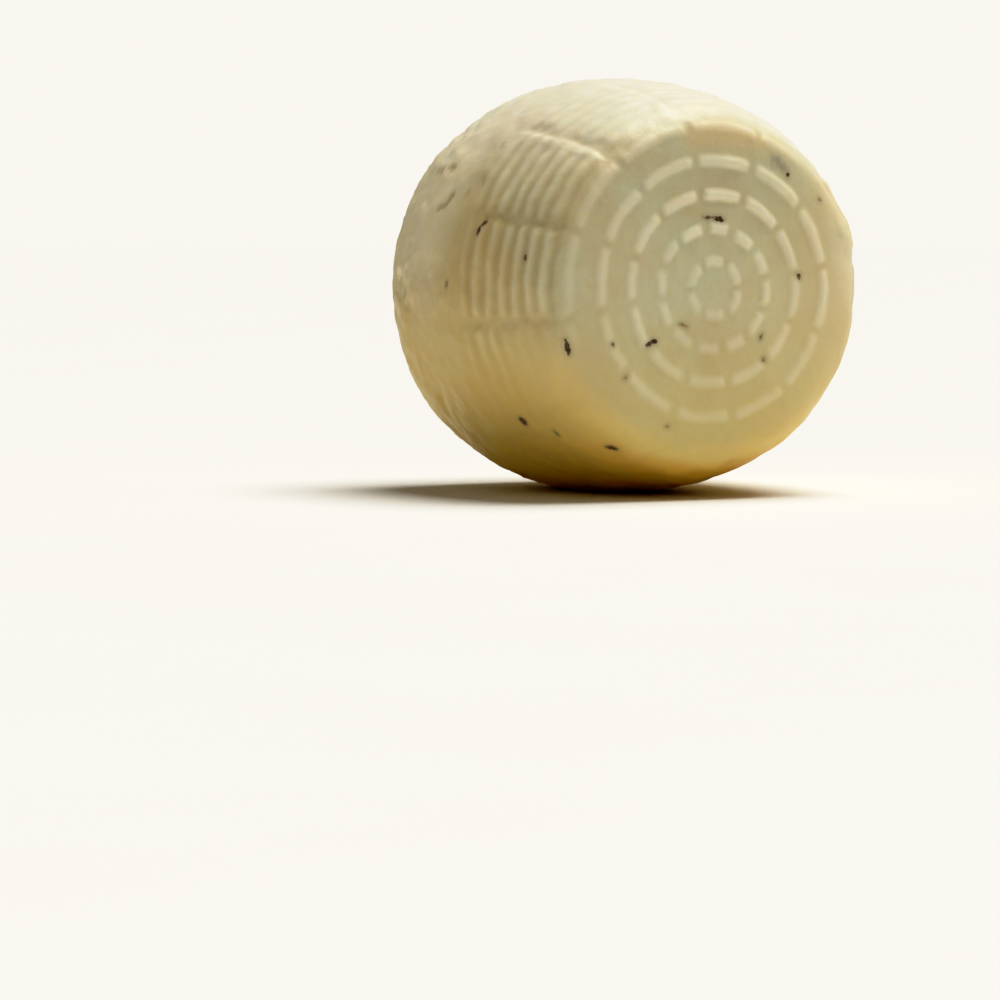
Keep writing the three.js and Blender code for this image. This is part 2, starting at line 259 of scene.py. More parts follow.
barrel = {
    "rows": 237, "columns": 421, "frontRows": 0.64,          # frontRows is the share in front of the belly
    "bellyRadius": 60 * mm, "restDepth": 0.9 * mm, "middleAxial": 7 * mm, "weld": 0.001 * mm,
    "frontHeight": 60 * mm, "frontFace": 49.5 * mm, "frontBow": 1.8, "frontCorner": 12.0,
    "rearHeight": 46 * mm, "rearFace": 51.2 * mm, "rearBow": 2.0, "rearCorner": 6.0,
    "sectors": 12.0, "sectorLine": math.radians(9.6), "innerSectors": 6.0, "innerLine": math.radians(61),
    "crestShare": 0.12, "endTaper": 2.3 * mm, "innerTaper": 2.0 * mm,
    "dashFirst": 7.5 * mm, "dashPitch": 9.4 * mm, "dashRings": 5.0, "dashWidth": 4.6 * mm,
    "dashGap": 0.5 * mm, "innerGap": 0.3 * mm, "dashHeight": 0.85 * mm, "dashRear": 0.8,
    "innerStrength": 0.75,
    "ribFront": 53.3 * mm, "ribPitch": 4.45 * mm, "ribStretch": 0.17 * mm, "ribCount": 7.0,
    "ribFade": 1.5, "ribEnd": 0.5,                           # a panel fades and ends this many ribs early
    "ribGap": 1.2 * mm, "ribHeight": 0.42 * mm, "ribSunk": 0.6,
    "grooveBefore": 4.4 * mm, "grooveAfter": 3.4 * mm, "grooveDepth": 0.5 * mm, "grooveTint": 0.62,
    "lipHeight": 0.25 * mm, "lipTint": 0.75,
    "sway": 2.4 * mm, "lump": 0.9 * mm, "knob": 1.6 * mm, "grain": 0.22 * mm, "markRagged": 3.6 * mm,
    "ridge": 0.12 * mm, "ridgePitch": 4.6 * mm, "wrinkle": 1.5 * mm,
    "rearFrom": 6 * mm, "rearFull": -14 * mm,                # where ridges and wrinkles start and are full
    "rearFade": -28 * mm, "rearEnd": -40 * mm,               # and where they fade before the rear face
}
# the noise in its shape: size, detail, roughness, distortion
noises = {
    "sway": (14 * mm, 3.0, 0.68, 0.0), "patch": (20 * mm, 2.0, 0.5, 0.0),
    "ragged": (3.2 * mm, 2.0, 0.5, 0.0), "mark": (2.2 * mm, 2.0, 0.5, 0.0),
    "lump": (34 * mm, 1.0, 0.5, 0.0), "knob": (10 * mm, 1.0, 0.5, 0.0),
    "grain": (5 * mm, 3.0, 0.5, 0.0), "wrinkle": (5 * mm, 2.0, 0.5, 0.6),
}
# fades of the print: from and to, as heights on the cheese from -1 to 1, and its strength at each
fades = {
    "ribLow": (-0.6, -0.05, 0.1, 1.0), "ribTop": (0.6, 0.9, 1.0, 0.15),
    "ribLowFront": (-0.3, -0.12, 0.15, 1.0), "lip": (0.55, 0.72, 0.0, 1.0),
    "grooveLow": (-0.4, 0.2, 0.2, 1.0), "grooveTop": (0.8, 0.98, 1.0, 0.3),
    "grooveShade": (0.4, 0.75, 1.0, 0.45),
}
# and in the same way by place, and by noise for the patches
wear = {
    "dashLow": (-42 * mm, 28 * mm, 0.52, 1.0),               # up the face
    "dashAside": (10 * mm, 38 * mm, 1.0, 0.65),              # from the axis towards asideAngle
    "outerRing": (6 * mm, 24 * mm, 0.0, 0.9),                # and towards outerAngle
    "panelStart": (-1.0, -0.5, 0.0, 1.0),                    # in ribs
    "ribFront": (34 * mm, 42 * mm, 1.0, 0.0),                # along the wall to the face
    "grooveRight": (0.0, 30 * mm, 1.0, 0.35),                # to the right
    "lipStart": (0.8 * mm, 2.2 * mm, 0.0, 1.0),              # the lip beside a groove, from its sector line
    "lipEnd": (3.2 * mm, 5.4 * mm, 1.0, 0.0),
    "knobs": (42 * mm, 52 * mm, 0.3, 1.0),                   # the wall is lumpier than the faces
    "groovePatch": (0.32, 0.68, 0.35, 1.35), "printPatch": (0.32, 0.68, 0.7, 1.12),
    "ridgePatch": (0.44, 0.6, 0.0, 1.0),
}
asideAngle = math.radians(145)
outerAngle = math.radians(125)

# marks: how far each kind reaches from its lines and how high it stands, then its lines in degrees and mm:
# angle, distance in front of the belly (for the smear, from the axis), length, turn from the way round
marks = {
    "dent": (2.4 * mm, -0.42 * mm, [(145.3, -4.0, 2.0, 75), (146.2, -10.6, 2.8, 95), (155.4, 5.0, 2.6, -25),
                                    (157.6, 2.2, 3.0, -70)]),
    "pit": (1.6 * mm, -0.22 * mm, [(149.2, 18.0, 1.0, 40), (137.6, 16.6, 1.2, 70), (153.0, 13.5, 0.8, 20)]),
    "seam": (1.7 * mm, 0.35 * mm, [(172.0, -14.3, 14.0, 18), (185.0, -13.2, 10.0, -15),
                                   (184.0, -24.0, 2.0, 0)]),
    "smear": (2.8 * mm, 0.0, [(58.0, 41.2, 3.4, 10)]),       # colour alone
    "bulge": (8 * mm, 1.5 * mm, [(18.5, 55.5, 3.0, 0)]),     # on the rim of the face
}


def inSector(tree, angle, radius, count, line):
    # distance round the axis from the middle of the sector that a point lies in, and half the sector's length
    step = addNode(tree, mathNode, (math.tau, count), operation="DIVIDE")
    turned = addNode(tree, mathNode, (angle, line), operation="SUBTRACT")
    turns = addNode(tree, mathNode, (turned, step), operation="DIVIDE")
    share = addNode(tree, mathNode, (turns,), operation="FRACT")
    share = addNode(tree, mathNode, (share, 0.5), operation="SUBTRACT")
    offset = addNode(tree, mathNode, (share, step), operation="MULTIPLY")
    half = addNode(tree, mathNode, (math.pi, count), operation="DIVIDE")
    return [addNode(tree, mathNode, (turn, radius), operation="MULTIPLY") for turn in (offset, half)]


def bareBarrel(tree, given):
    # a grid bent to the bare barrel: polar angles from the front pole to the rear one, then round the axis
    grid = addNode(tree, "GeometryNodeMeshGrid", (1.0, 1.0, given["columns"], given["rows"]))
    flat = addNode(tree, "ShaderNodeSeparateXYZ", (addNode(tree, placeNode),)).node.outputs
    angle = addNode(tree, mathNode, (flat["X"], math.tau), operation="MULTIPLY")
    share = addNode(tree, mathNode, (flat["Y"], 0.5), operation="ADD")
    ahead = addNode(tree, rangeNode, (share, 0.0, given["frontRows"], 0.0, math.pi / 2))
    behind = addNode(tree, rangeNode, (share, given["frontRows"], 1.0, 0.0, math.pi / 2))
    polar = addNode(tree, mathNode, (ahead, behind), operation="ADD")
    forward = addNode(tree, mathNode, (polar,), operation="COSINE")
    outward = addNode(tree, mathNode, (polar,), operation="SINE")
    isFront = addNode(tree, compareNode, (forward, 0.0), operation="GREATER_EQUAL")
    end = {}
    for label in ("Height", "Face", "Bow", "Corner"):
        end[label] = addNode(tree, switchNode, (isFront, given["rear" + label], given["front" + label]),
                             input_type="FLOAT")
    # the corner between wall and face is a superellipse, and the wall then bows in
    ahead = addNode(tree, mathNode, (forward,), operation="ABSOLUTE")
    ahead = addNode(tree, mathNode, (ahead, end["Height"]), operation="DIVIDE")
    ahead = addNode(tree, mathNode, (ahead, end["Corner"]), operation="POWER")
    aside = addNode(tree, mathNode, (outward, given["bellyRadius"]), operation="DIVIDE")
    aside = addNode(tree, mathNode, (aside, end["Corner"]), operation="POWER")
    both = addNode(tree, mathNode, (ahead, aside), operation="ADD")
    root = addNode(tree, mathNode, (-1.0, end["Corner"]), operation="DIVIDE")
    reach = addNode(tree, mathNode, (both, root), operation="POWER")
    axial = addNode(tree, mathNode, (reach, forward), operation="MULTIPLY")
    radius = addNode(tree, mathNode, (reach, outward), operation="MULTIPLY")
    share = addNode(tree, mathNode, (axial, end["Height"]), operation="DIVIDE")
    share = addNode(tree, mathNode, (share,), operation="ABSOLUTE")
    bowed = addNode(tree, mathNode, (share, end["Bow"]), operation="POWER")
    narrow = addNode(tree, mathNode, (end["Face"], given["bellyRadius"]), operation="DIVIDE")
    narrow = addNode(tree, rangeNode, (bowed, 0.0, 1.0, 1.0, narrow))
    radius = addNode(tree, mathNode, (radius, narrow), operation="MULTIPLY")
    axis = addNode(tree, mathNode, (given["bellyRadius"], given["restDepth"]), operation="SUBTRACT")
    cosine = addNode(tree, mathNode, (angle,), operation="COSINE")
    sine = addNode(tree, mathNode, (angle,), operation="SINE")
    x = addNode(tree, mathNode, (radius, cosine), operation="MULTIPLY")
    y = addNode(tree, mathNode, (given["middleAxial"], axial), operation="SUBTRACT")
    z = addNode(tree, mathNode, (radius, sine, axis), operation="MULTIPLY_ADD")
    place = addNode(tree, "ShaderNodeCombineXYZ", (x, y, z))
    bent = addNode(tree, moveNode, {"Geometry": grid, "Position": place})
    closed = addNode(tree, "GeometryNodeMergeByDistance", {"Geometry": bent, "Distance": given["weld"]})
    return addNode(tree, "GeometryNodeFlipFaces", (closed,)), axis


def reliefPlaces(tree, given, axis):
    # the noise at each point, and where it lies round, out from and along the axis, swayed so that no line of
    # the print is straight
    at = {"place": addNode(tree, placeNode)}
    for label, (_, detail, rough, distortion) in noises.items():
        at[label] = addNode(tree, noiseNode, {"Vector": at["place"], "Scale": given[label + "Scale"],
                                              "Detail": detail, "Roughness": rough, "Distortion": distortion})
    sway = at["sway"].node.outputs["Color"]
    sway = addNode(tree, vectorNode, (sway, [noiseMean] * 3), operation="SUBTRACT")
    sway = addNode(tree, vectorNode, {0: sway, "Scale": given["sway"]}, operation="SCALE")
    swayed = addNode(tree, vectorNode, (at["place"], sway), operation="ADD")
    part = addNode(tree, "ShaderNodeSeparateXYZ", (swayed,)).node.outputs
    up = addNode(tree, mathNode, (part["Z"], axis), operation="SUBTRACT")
    ray = addNode(tree, "ShaderNodeCombineXYZ", (part["X"], up))
    at["right"] = part["X"]
    at["up"] = up
    at["angle"] = addNode(tree, mathNode, (up, part["X"]), operation="ARCTAN2")
    at["radius"] = addNode(tree, vectorNode, (ray,), pick="Value", operation="LENGTH")
    at["axial"] = addNode(tree, mathNode, (given["middleAxial"], part["Y"]), operation="SUBTRACT")
    at["height"] = addNode(tree, mathNode, (at["angle"],), operation="SINE")
    return at


def faceDashes(tree, given, at):
    # rings of dashes: the nearest ring, then the place along its dash
    ring = addNode(tree, mathNode, (at["radius"], given["dashFirst"]), operation="SUBTRACT")
    ring = addNode(tree, mathNode, (ring, given["dashPitch"]), operation="DIVIDE")
    ring = addNode(tree, mathNode, (ring,), operation="ROUND")
    last = addNode(tree, mathNode, (given["dashRings"], 1.0), operation="SUBTRACT")
    ring = addNode(tree, "ShaderNodeClamp", (ring, 0.0, last))
    ringRadius = addNode(tree, mathNode, (ring, given["dashPitch"], given["dashFirst"]),
                         operation="MULTIPLY_ADD")
    isInner = addNode(tree, compareNode, (ring, 0.5), operation="LESS_THAN")
    own = {}
    for usual, innermost in (("sectors", "innerSectors"), ("sectorLine", "innerLine"),
                             ("dashGap", "innerGap"), ("endTaper", "innerTaper")):
        own[usual] = addNode(tree, switchNode, (isInner, given[usual], given[innermost]), input_type="FLOAT")
    along, half = inSector(tree, at["angle"], ringRadius, own["sectors"], own["sectorLine"])
    gap = addNode(tree, mathNode, (own["dashGap"], 0.5), operation="MULTIPLY")
    half = addNode(tree, mathNode, (half, gap), operation="SUBTRACT")
    # a dash is a bead with a narrow crest and tapered ends
    foot = addNode(tree, mathNode, (given["dashWidth"], 0.5), operation="MULTIPLY")
    crest = addNode(tree, mathNode, (foot, given["crestShare"]), operation="MULTIPLY")
    across = addNode(tree, mathNode, (at["radius"], ringRadius), operation="SUBTRACT")
    across = addNode(tree, mathNode, (across,), operation="ABSOLUTE")
    across = addNode(tree, rangeNode, (across, crest, foot, 1.0, 0.0), **smooth)
    start = addNode(tree, mathNode, (half, own["endTaper"]), operation="SUBTRACT")
    along = addNode(tree, mathNode, (along,), operation="ABSOLUTE")
    along = addNode(tree, rangeNode, (along, start, half, 1.0, 0.0), **smooth)
    dash = addNode(tree, mathNode, (across, along), operation="MULTIPLY")
    isFront = addNode(tree, compareNode, (at["axial"], 0.0), operation="GREATER_THAN")
    pressed = addNode(tree, switchNode, (isFront, given["dashRear"], 1.0), input_type="FLOAT")
    inner = addNode(tree, switchNode, (isInner, 1.0, given["innerStrength"]), input_type="FLOAT")
    # fainter below and at the upper left, and the outermost ring is worn away all but there
    worn = []
    for middle, label in ((asideAngle, "dashAside"), (outerAngle, "outerRing")):
        way = addNode(tree, mathNode, (at["angle"], middle), operation="SUBTRACT")
        way = addNode(tree, mathNode, (way,), operation="COSINE")
        way = addNode(tree, mathNode, (way, at["radius"]), operation="MULTIPLY")
        worn.append(addNode(tree, rangeNode, (way, *wear[label]), **smooth))
    aside, outer = worn
    beforeLast = addNode(tree, mathNode, (last, 0.5), operation="SUBTRACT")
    isOuter = addNode(tree, compareNode, (ring, beforeLast), operation="GREATER_THAN")
    outer = addNode(tree, switchNode, (isOuter, 1.0, outer), input_type="FLOAT")
    low = addNode(tree, rangeNode, (at["up"], *wear["dashLow"]), **smooth)
    for strength in (given["dashHeight"], pressed, outer, low, aside, inner):
        dash = addNode(tree, mathNode, (dash, strength), operation="MULTIPLY")
    # the outer edge of the last ring, where the wall begins
    edge = addNode(tree, mathNode, (last, given["dashPitch"], given["dashFirst"]), operation="MULTIPLY_ADD")
    edge = addNode(tree, mathNode, (edge, foot), operation="ADD")
    return dash, edge


def wallPanels(tree, given, at, fade):
    # panels of ribs round the wall, a wave whose pitch grows a little from rib to rib towards the rear: the
    # distance behind the first rib is number * pitch + number ** 2 * stretch
    behind = addNode(tree, mathNode, (given["ribFront"], at["axial"]), operation="SUBTRACT")
    square = addNode(tree, mathNode, (given["ribPitch"], given["ribPitch"]), operation="MULTIPLY")
    fourfold = addNode(tree, mathNode, (given["ribStretch"], 4.0), operation="MULTIPLY")
    square = addNode(tree, mathNode, (behind, fourfold, square), operation="MULTIPLY_ADD")
    square = addNode(tree, mathNode, (square, 0.0), operation="MAXIMUM")
    number = addNode(tree, mathNode, (square,), operation="SQRT")
    number = addNode(tree, mathNode, (number, given["ribPitch"]), operation="SUBTRACT")
    twice = addNode(tree, mathNode, (given["ribStretch"], 2.0), operation="MULTIPLY")
    number = addNode(tree, mathNode, (number, twice), operation="DIVIDE")
    wave = addNode(tree, mathNode, (number, math.tau), operation="MULTIPLY")
    wave = addNode(tree, mathNode, (wave,), operation="COSINE")
    wave = addNode(tree, mathNode, (wave, 0.5, 0.5), operation="MULTIPLY_ADD")
    last = addNode(tree, mathNode, (given["ribCount"], given["ribFade"]), operation="SUBTRACT")
    end = addNode(tree, mathNode, (given["ribCount"], given["ribEnd"]), operation="SUBTRACT")
    starting = addNode(tree, rangeNode, (number, *wear["panelStart"]), **smooth)
    ending = addNode(tree, rangeNode, (number, last, end, 1.0, 0.0), **smooth)
    inPanel = addNode(tree, mathNode, (starting, ending), operation="MULTIPLY")
    # the ribs stop short of each sector line
    along, half = inSector(tree, at["angle"], at["radius"], given["sectors"], given["sectorLine"])
    fromMiddle = addNode(tree, mathNode, (along,), operation="ABSOLUTE")
    fromLine = addNode(tree, mathNode, (half, fromMiddle), operation="SUBTRACT")
    gap = addNode(tree, mathNode, (given["ribGap"], 0.5), operation="MULTIPLY")
    full = addNode(tree, mathNode, (gap, given["endTaper"]), operation="ADD")
    ribbed = addNode(tree, rangeNode, (fromLine, gap, full, 0.0, 1.0), **smooth)
    ribs = addNode(tree, mathNode, (wave, ribbed), operation="MULTIPLY")
    ribs = addNode(tree, mathNode, (ribs, given["ribSunk"]), operation="SUBTRACT")
    # for the rind's colour: painted highlight on the rib crests and painted shade in the troughs
    wearAndShadeTint = addNode(tree, mathNode, (wave, 0.5), operation="SUBTRACT")
    wearAndShadeTint = addNode(tree, mathNode, (wearAndShadeTint, ribbed), operation="MULTIPLY")
    ribWorn = addNode(tree, rangeNode, (at["axial"], *wear["ribFront"]), **smooth)
    ribWorn = addNode(tree, mathNode, (ribWorn, fade["ribLowFront"]), operation="MAXIMUM")
    for strength in (inPanel, ribWorn, fade["ribLow"], fade["ribTop"]):
        ribs = addNode(tree, mathNode, (ribs, strength), operation="MULTIPLY")
        wearAndShadeTint = addNode(tree, mathNode, (wearAndShadeTint, strength), operation="MULTIPLY")
    ribs = addNode(tree, mathNode, (ribs, given["ribHeight"]), operation="MULTIPLY")
    # a groove on each sector line, as long as the panel
    isBefore = addNode(tree, compareNode, (along, 0.0), operation="GREATER_THAN")
    width = addNode(tree, switchNode, (isBefore, given["grooveAfter"], given["grooveBefore"]),
                    input_type="FLOAT")
    groove = addNode(tree, rangeNode, (fromLine, 0.0, width, 1.0, 0.0), **smooth)
    grooveWorn = addNode(tree, rangeNode, (at["right"], *wear["grooveRight"]), **smooth)
    ragged = addNode(tree, rangeNode, (at["ragged"], *wear["groovePatch"]))
    for strength in (inPanel, grooveWorn, ragged, fade["grooveLow"], fade["grooveTop"]):
        groove = addNode(tree, mathNode, (groove, strength), operation="MULTIPLY")
    sunk = addNode(tree, mathNode, (groove, given["grooveDepth"]), operation="MULTIPLY")
    # and painted shade along the groove
    shade = addNode(tree, mathNode, (groove, given["grooveTint"]), operation="MULTIPLY")
    shade = addNode(tree, mathNode, (shade, fade["grooveShade"]), operation="MULTIPLY")
    wearAndShadeTint = addNode(tree, mathNode, (wearAndShadeTint, shade), operation="SUBTRACT")
    relief = addNode(tree, mathNode, (ribs, sunk), operation="SUBTRACT")
    # high up, the panel below a groove has a raised lip, with a painted highlight on it
    lip = addNode(tree, switchNode, (isBefore, 1.0, 0.0), input_type="FLOAT")
    for label in ("lipStart", "lipEnd"):
        near = addNode(tree, rangeNode, (fromLine, *wear[label]), **smooth)
        lip = addNode(tree, mathNode, (lip, near), operation="MULTIPLY")
    for strength in (inPanel, ragged, grooveWorn, fade["lip"], fade["grooveTop"]):
        lip = addNode(tree, mathNode, (lip, strength), operation="MULTIPLY")
    wearAndShadeTint = addNode(tree, mathNode, (lip, given["lipTint"], wearAndShadeTint), operation="MULTIPLY_ADD")
    return addNode(tree, mathNode, (lip, given["lipHeight"], relief), operation="MULTIPLY_ADD"), wearAndShadeTint


def printedRelief(tree, given, at):
    # what the basket left above and below the bare barrel, stronger in some patches than in others
    fade = {}
    for label, row in fades.items():
        fade[label] = addNode(tree, rangeNode, (at["height"], *row), **smooth)
    dash, edge = faceDashes(tree, given, at)
    wall, wallWearAndShade = wallPanels(tree, given, at, fade)
    onWall = addNode(tree, compareNode, (at["radius"], edge), operation="GREATER_THAN")
    printed = addNode(tree, switchNode, (onWall, dash, wall), input_type="FLOAT")
    patch = addNode(tree, rangeNode, (at["patch"], *wear["printPatch"]))
    # and how far it stands out, from -1 to 1, for the rind's colour: rubbed pale with painted highlight on
    # crests, painted shade in troughs and grooves
    dashWearAndHighlight = addNode(tree, mathNode, (dash, given["dashHeight"]), operation="DIVIDE")
    wearAndShadeTint = addNode(tree, switchNode, (onWall, dashWearAndHighlight, wallWearAndShade), input_type="FLOAT")
    return [addNode(tree, mathNode, (value, patch), operation="MULTIPLY") for value in (printed, wearAndShadeTint)]


def handmadeUnevenness(tree, given, at):
    # lumps and grain, ridges and wrinkles round the rear of the wall, then the marks
    total = 0.0
    spread = addNode(tree, rangeNode, (at["radius"], *wear["knobs"]), **smooth)
    knob = addNode(tree, mathNode, (given["knob"], spread), operation="MULTIPLY")
    for label, amount in (("lump", given["lump"]), ("knob", knob), ("grain", given["grain"])):
        noise = addNode(tree, mathNode, (at[label], noiseMean), operation="SUBTRACT")
        total = addNode(tree, mathNode, (noise, amount, total), operation="MULTIPLY_ADD")
    wave = addNode(tree, mathNode, (at["axial"], given["ridgePitch"]), operation="DIVIDE")
    wave = addNode(tree, mathNode, (wave, math.tau), operation="MULTIPLY")
    wave = addNode(tree, mathNode, (wave,), operation="SINE")
    wave = addNode(tree, mathNode, (wave, given["ridge"]), operation="MULTIPLY")
    patch = addNode(tree, rangeNode, (at["patch"], *wear["ridgePatch"]))
    wave = addNode(tree, mathNode, (wave, patch), operation="MULTIPLY")
    wrinkle = addNode(tree, mathNode, (at["wrinkle"], noiseMean), operation="SUBTRACT")
    wave = addNode(tree, mathNode, (wrinkle, given["wrinkle"], wave), operation="MULTIPLY_ADD")
    rear = addNode(tree, rangeNode, (at["axial"], given["rearFrom"], given["rearFull"], 0.0, 1.0), **smooth)
    ending = addNode(tree, rangeNode, (at["axial"], given["rearFade"], given["rearEnd"], 1.0, 0.0), **smooth)
    rear = addNode(tree, mathNode, (rear, ending), operation="MULTIPLY")
    total = addNode(tree, mathNode, (wave, rear, total), operation="MULTIPLY_ADD")
    ragged = addNode(tree, mathNode, (at["mark"], noiseMean), operation="SUBTRACT")
    shown = {}
    for label in marks:
        lines = addNode(tree, "GeometryNodeObjectInfo", (given[label + "Lines"],), pick="Geometry")
        near = addNode(tree, "GeometryNodeProximity", (lines,), pick="Distance", target_element="EDGES")
        near = addNode(tree, mathNode, (ragged, given["markRagged"], near), operation="MULTIPLY_ADD")
        near = addNode(tree, rangeNode, (near, 0.0, given[label + "Reach"], 1.0, 0.0), **smooth)
        total = addNode(tree, mathNode, (near, given[label + "Height"], total), operation="MULTIPLY_ADD")
        shown[label] = near
    return total, shown


def wallRadius(axial):
    # radius of the bare wall, for placing the marks
    end = "front" if axial >= 0 else "rear"
    share = abs(axial) / barrel[end + "Height"]
    narrow = barrel["bellyRadius"] - barrel[end + "Face"]
    bowed = barrel["bellyRadius"] - narrow * share ** barrel[end + "Bow"]
    return bowed * (1 - share ** barrel[end + "Corner"]) ** (1 / barrel[end + "Corner"])


def surfacePlace(angle, axial, radius):
    axis = barrel["bellyRadius"] - barrel["restDepth"]
    return Vector((radius * math.cos(angle), barrel["middleAxial"] - axial, axis + radius * math.sin(angle)))


def makeLines(name, rows, onFace):
    # edges on the bare surface, which the marks are measured from
    points, edges = [], []
    for angle, spot, length, turn in rows:
        angle, turn, spot = math.radians(angle), math.radians(turn), spot * mm
        half = length * mm / 2
        edges.append((len(points), len(points) + 1))
        for side in (-1, 1):
            there = spot + side * half * math.sin(turn)
            axial, radius = (barrel["frontHeight"], there) if onFace else (there, wallRadius(there))
            points.append(surfacePlace(angle + side * half * math.cos(turn) / radius, axial, radius))
    return newPiece(name, points, edges)


def makeCheese(material):
    settings = {**barrel, "rind": material}
    for label, (reach, height, rows) in marks.items():
        settings[label + "Reach"] = reach
        settings[label + "Height"] = height
        settings[label + "Lines"] = makeLines(label + "Lines", rows, onFace=label == "smear")
    for label, (size, *_) in noises.items():
        settings[label + "Scale"] = 1 / size
    tree, given = startTree("printedBarrel", settings)
    bare, axis = bareBarrel(tree, given)
    at = reliefPlaces(tree, given, axis)
    relief, wearAndShadeTint = printedRelief(tree, given, at)
    uneven, shown = handmadeUnevenness(tree, given, at)
    total = addNode(tree, mathNode, (relief, uneven), operation="ADD")
    normal = addNode(tree, "GeometryNodeInputNormal")
    # kept for the rind's colour: the print, the marks, and how far the bare barrel faces up and to the left,
    # from which it paints light above and shade below and at the left
    facing = addNode(tree, "ShaderNodeSeparateXYZ", (normal,)).node.outputs
    leftward = addNode(tree, mathNode, (facing["X"], -1.0), operation="MULTIPLY")
    kept = {"print": wearAndShadeTint, "sky": facing["Z"], "left": leftward}
    kept.update((label, shown[label]) for label in ("dent", "pit", "smear"))
    for label, value in kept.items():
        bare = addNode(tree, storeNode, {"Geometry": bare, "Name": label, "Value": value}, **onPoints)
    offset = addNode(tree, vectorNode, {0: normal, "Scale": total}, operation="SCALE")
    shaped = addNode(tree, moveNode, {"Geometry": bare, "Offset": offset})
    # its own weight settles it flat underneath; sideways it keeps its place, well within a metre
    settled = addNode(tree, vectorNode, (addNode(tree, placeNode), (-1.0, -1.0, 0.0)), operation="MAXIMUM")
    shaped = addNode(tree, moveNode, {"Geometry": shaped, "Position": settled})
    shaped = addNode(tree, "GeometryNodeSetShadeSmooth", {"Geometry": shaped, "Shade Smooth": True})
    shaped = addNode(tree, "GeometryNodeRealizeInstances", {"Geometry": shaped})
    shaped = addNode(tree, "GeometryNodeSetMaterial", {"Geometry": shaped, "Material": given["rind"]})
    addNode(tree, "NodeGroupOutput", (shaped,))
    piece = newPiece("caciottaRind")
    bakeTree(piece, tree, settings)
    for label in marks:
        bpy.data.objects.remove(settings[label + "Lines"])
    return piece


rindMaterial = makeRind()
cheese = makeCheese(rindMaterial)
print("cheese:", len(cheese.data.polygons), "faces, box",
      [round(side / mm, 1) for side in cheese.dimensions])


# Truffle flecks, pressed into the face, the wall and the rear

flecks = {
    "halfDepth": 0.4 * mm, "proud": 0.06 * mm, "reach": 4 * mm, "rounds": 4,
    "ragged": 1.3 * mm, "raggedSize": 1.1 * mm, "raggedDetail": 2.0,
}
# in degrees and mm: angle, radius on the face or distance in front of the belly, length, width, turn from
# the way round, fade
faceFlecks = [
    (84.6, 19.4, 3.8, 1.5, -6, 0.0), (94.0, 19.8, 4.6, 0.9, -4, 0.4), (-143.6, 25.5, 2.2, 1.5, 80, 0.05),
    (-142.4, 23.7, 1.9, 1.5, 60, 0.0), (-133.0, 13.8, 3.0, 0.8, 25, 0.75), (-41.0, 20.6, 2.1, 1.0, 21, 0.7),
    (6.7, 28.1, 2.0, 1.4, -6, 0.4), (52.7, 40.2, 1.5, 1.2, -18, 0.1),
    (-154.6, 35.3, 1.8, 1.3, 0, 0.7), (35.3, 43.1, 1.4, 1.0, 0, 0.95), (-50.8, 25.8, 1.6, 1.3, 30, 0.9),
    (-138.8, 36.9, 1.3, 0.9, 60, 1.05), (-110.5, 40.6, 1.2, 0.7, 0, 1.2),
]
wallFlecks = [
    (-160.4, 57.4, 5.0, 1.2, -4, 0.0), (-121.3, 50.2, 4.2, 2.4, 35, 0.3), (-139.5, 29.4, 3.2, 3.0, -25, 0.25),
    (-133.2, 38.7, 2.9, 1.3, 2, 0.8), (170.6, 47.1, 2.3, 1.8, 20, 0.5), (179.1, 13.2, 2.2, 0.9, -18, 0.9),
    (161.6, 27.0, 2.8, 1.8, -50, 0.2), (163.7, 25.7, 3.6, 1.7, -10, 0.3),
]
# on the hidden sides: places from and to, then sizes as the least and what a draw adds to it
scatter = {
    "seed": 2024, "wallCount": 15, "wallAngles": (-76.0, 58.0), "wallAxials": (-34.0, 46.0),
    "rearCount": 7, "rearRadii": (6.0, 44.0), "length": (1.9, 3.2), "slimness": (0.4, 0.35),
    "shortLength": 2.6, "shortFade": 0.3,                    # short ones are a little faded
    "factor": 1664525, "step": 1013904223, "modulus": 2 ** 32,
}


def seededDraws():
    # the same draws in each run, by a plain linear rule
    state = scatter["seed"]
    while True:
        state = (state * scatter["factor"] + scatter["step"]) % scatter["modulus"]
        yield state / scatter["modulus"]


def fleckSize(draws):
    length = scatter["length"][0] + scatter["length"][1] * next(draws) ** 2
    width = length * (scatter["slimness"][0] + scatter["slimness"][1] * next(draws))
    turn = math.degrees(next(draws) * math.pi)
    return [length, width, turn, scatter["shortFade"] if length < scatter["shortLength"] else 0.0]


def scatteredFlecks():
    draws = seededDraws()
    wall, rear = [], []
    for i in range(scatter["wallCount"]):
        low, high = scatter["wallAngles"]
        angle = low + (high - low) * (i + next(draws)) / scatter["wallCount"]
        low, high = scatter["wallAxials"]
        wall.append([angle, low + (high - low) * next(draws)] + fleckSize(draws))
    for i in range(scatter["rearCount"]):
        angle = 360 * (i + next(draws)) / scatter["rearCount"]
        low, high = scatter["rearRadii"]
        rear.append([angle, low + (high - low) * math.sqrt(next(draws))] + fleckSize(draws))
    return wall, rear


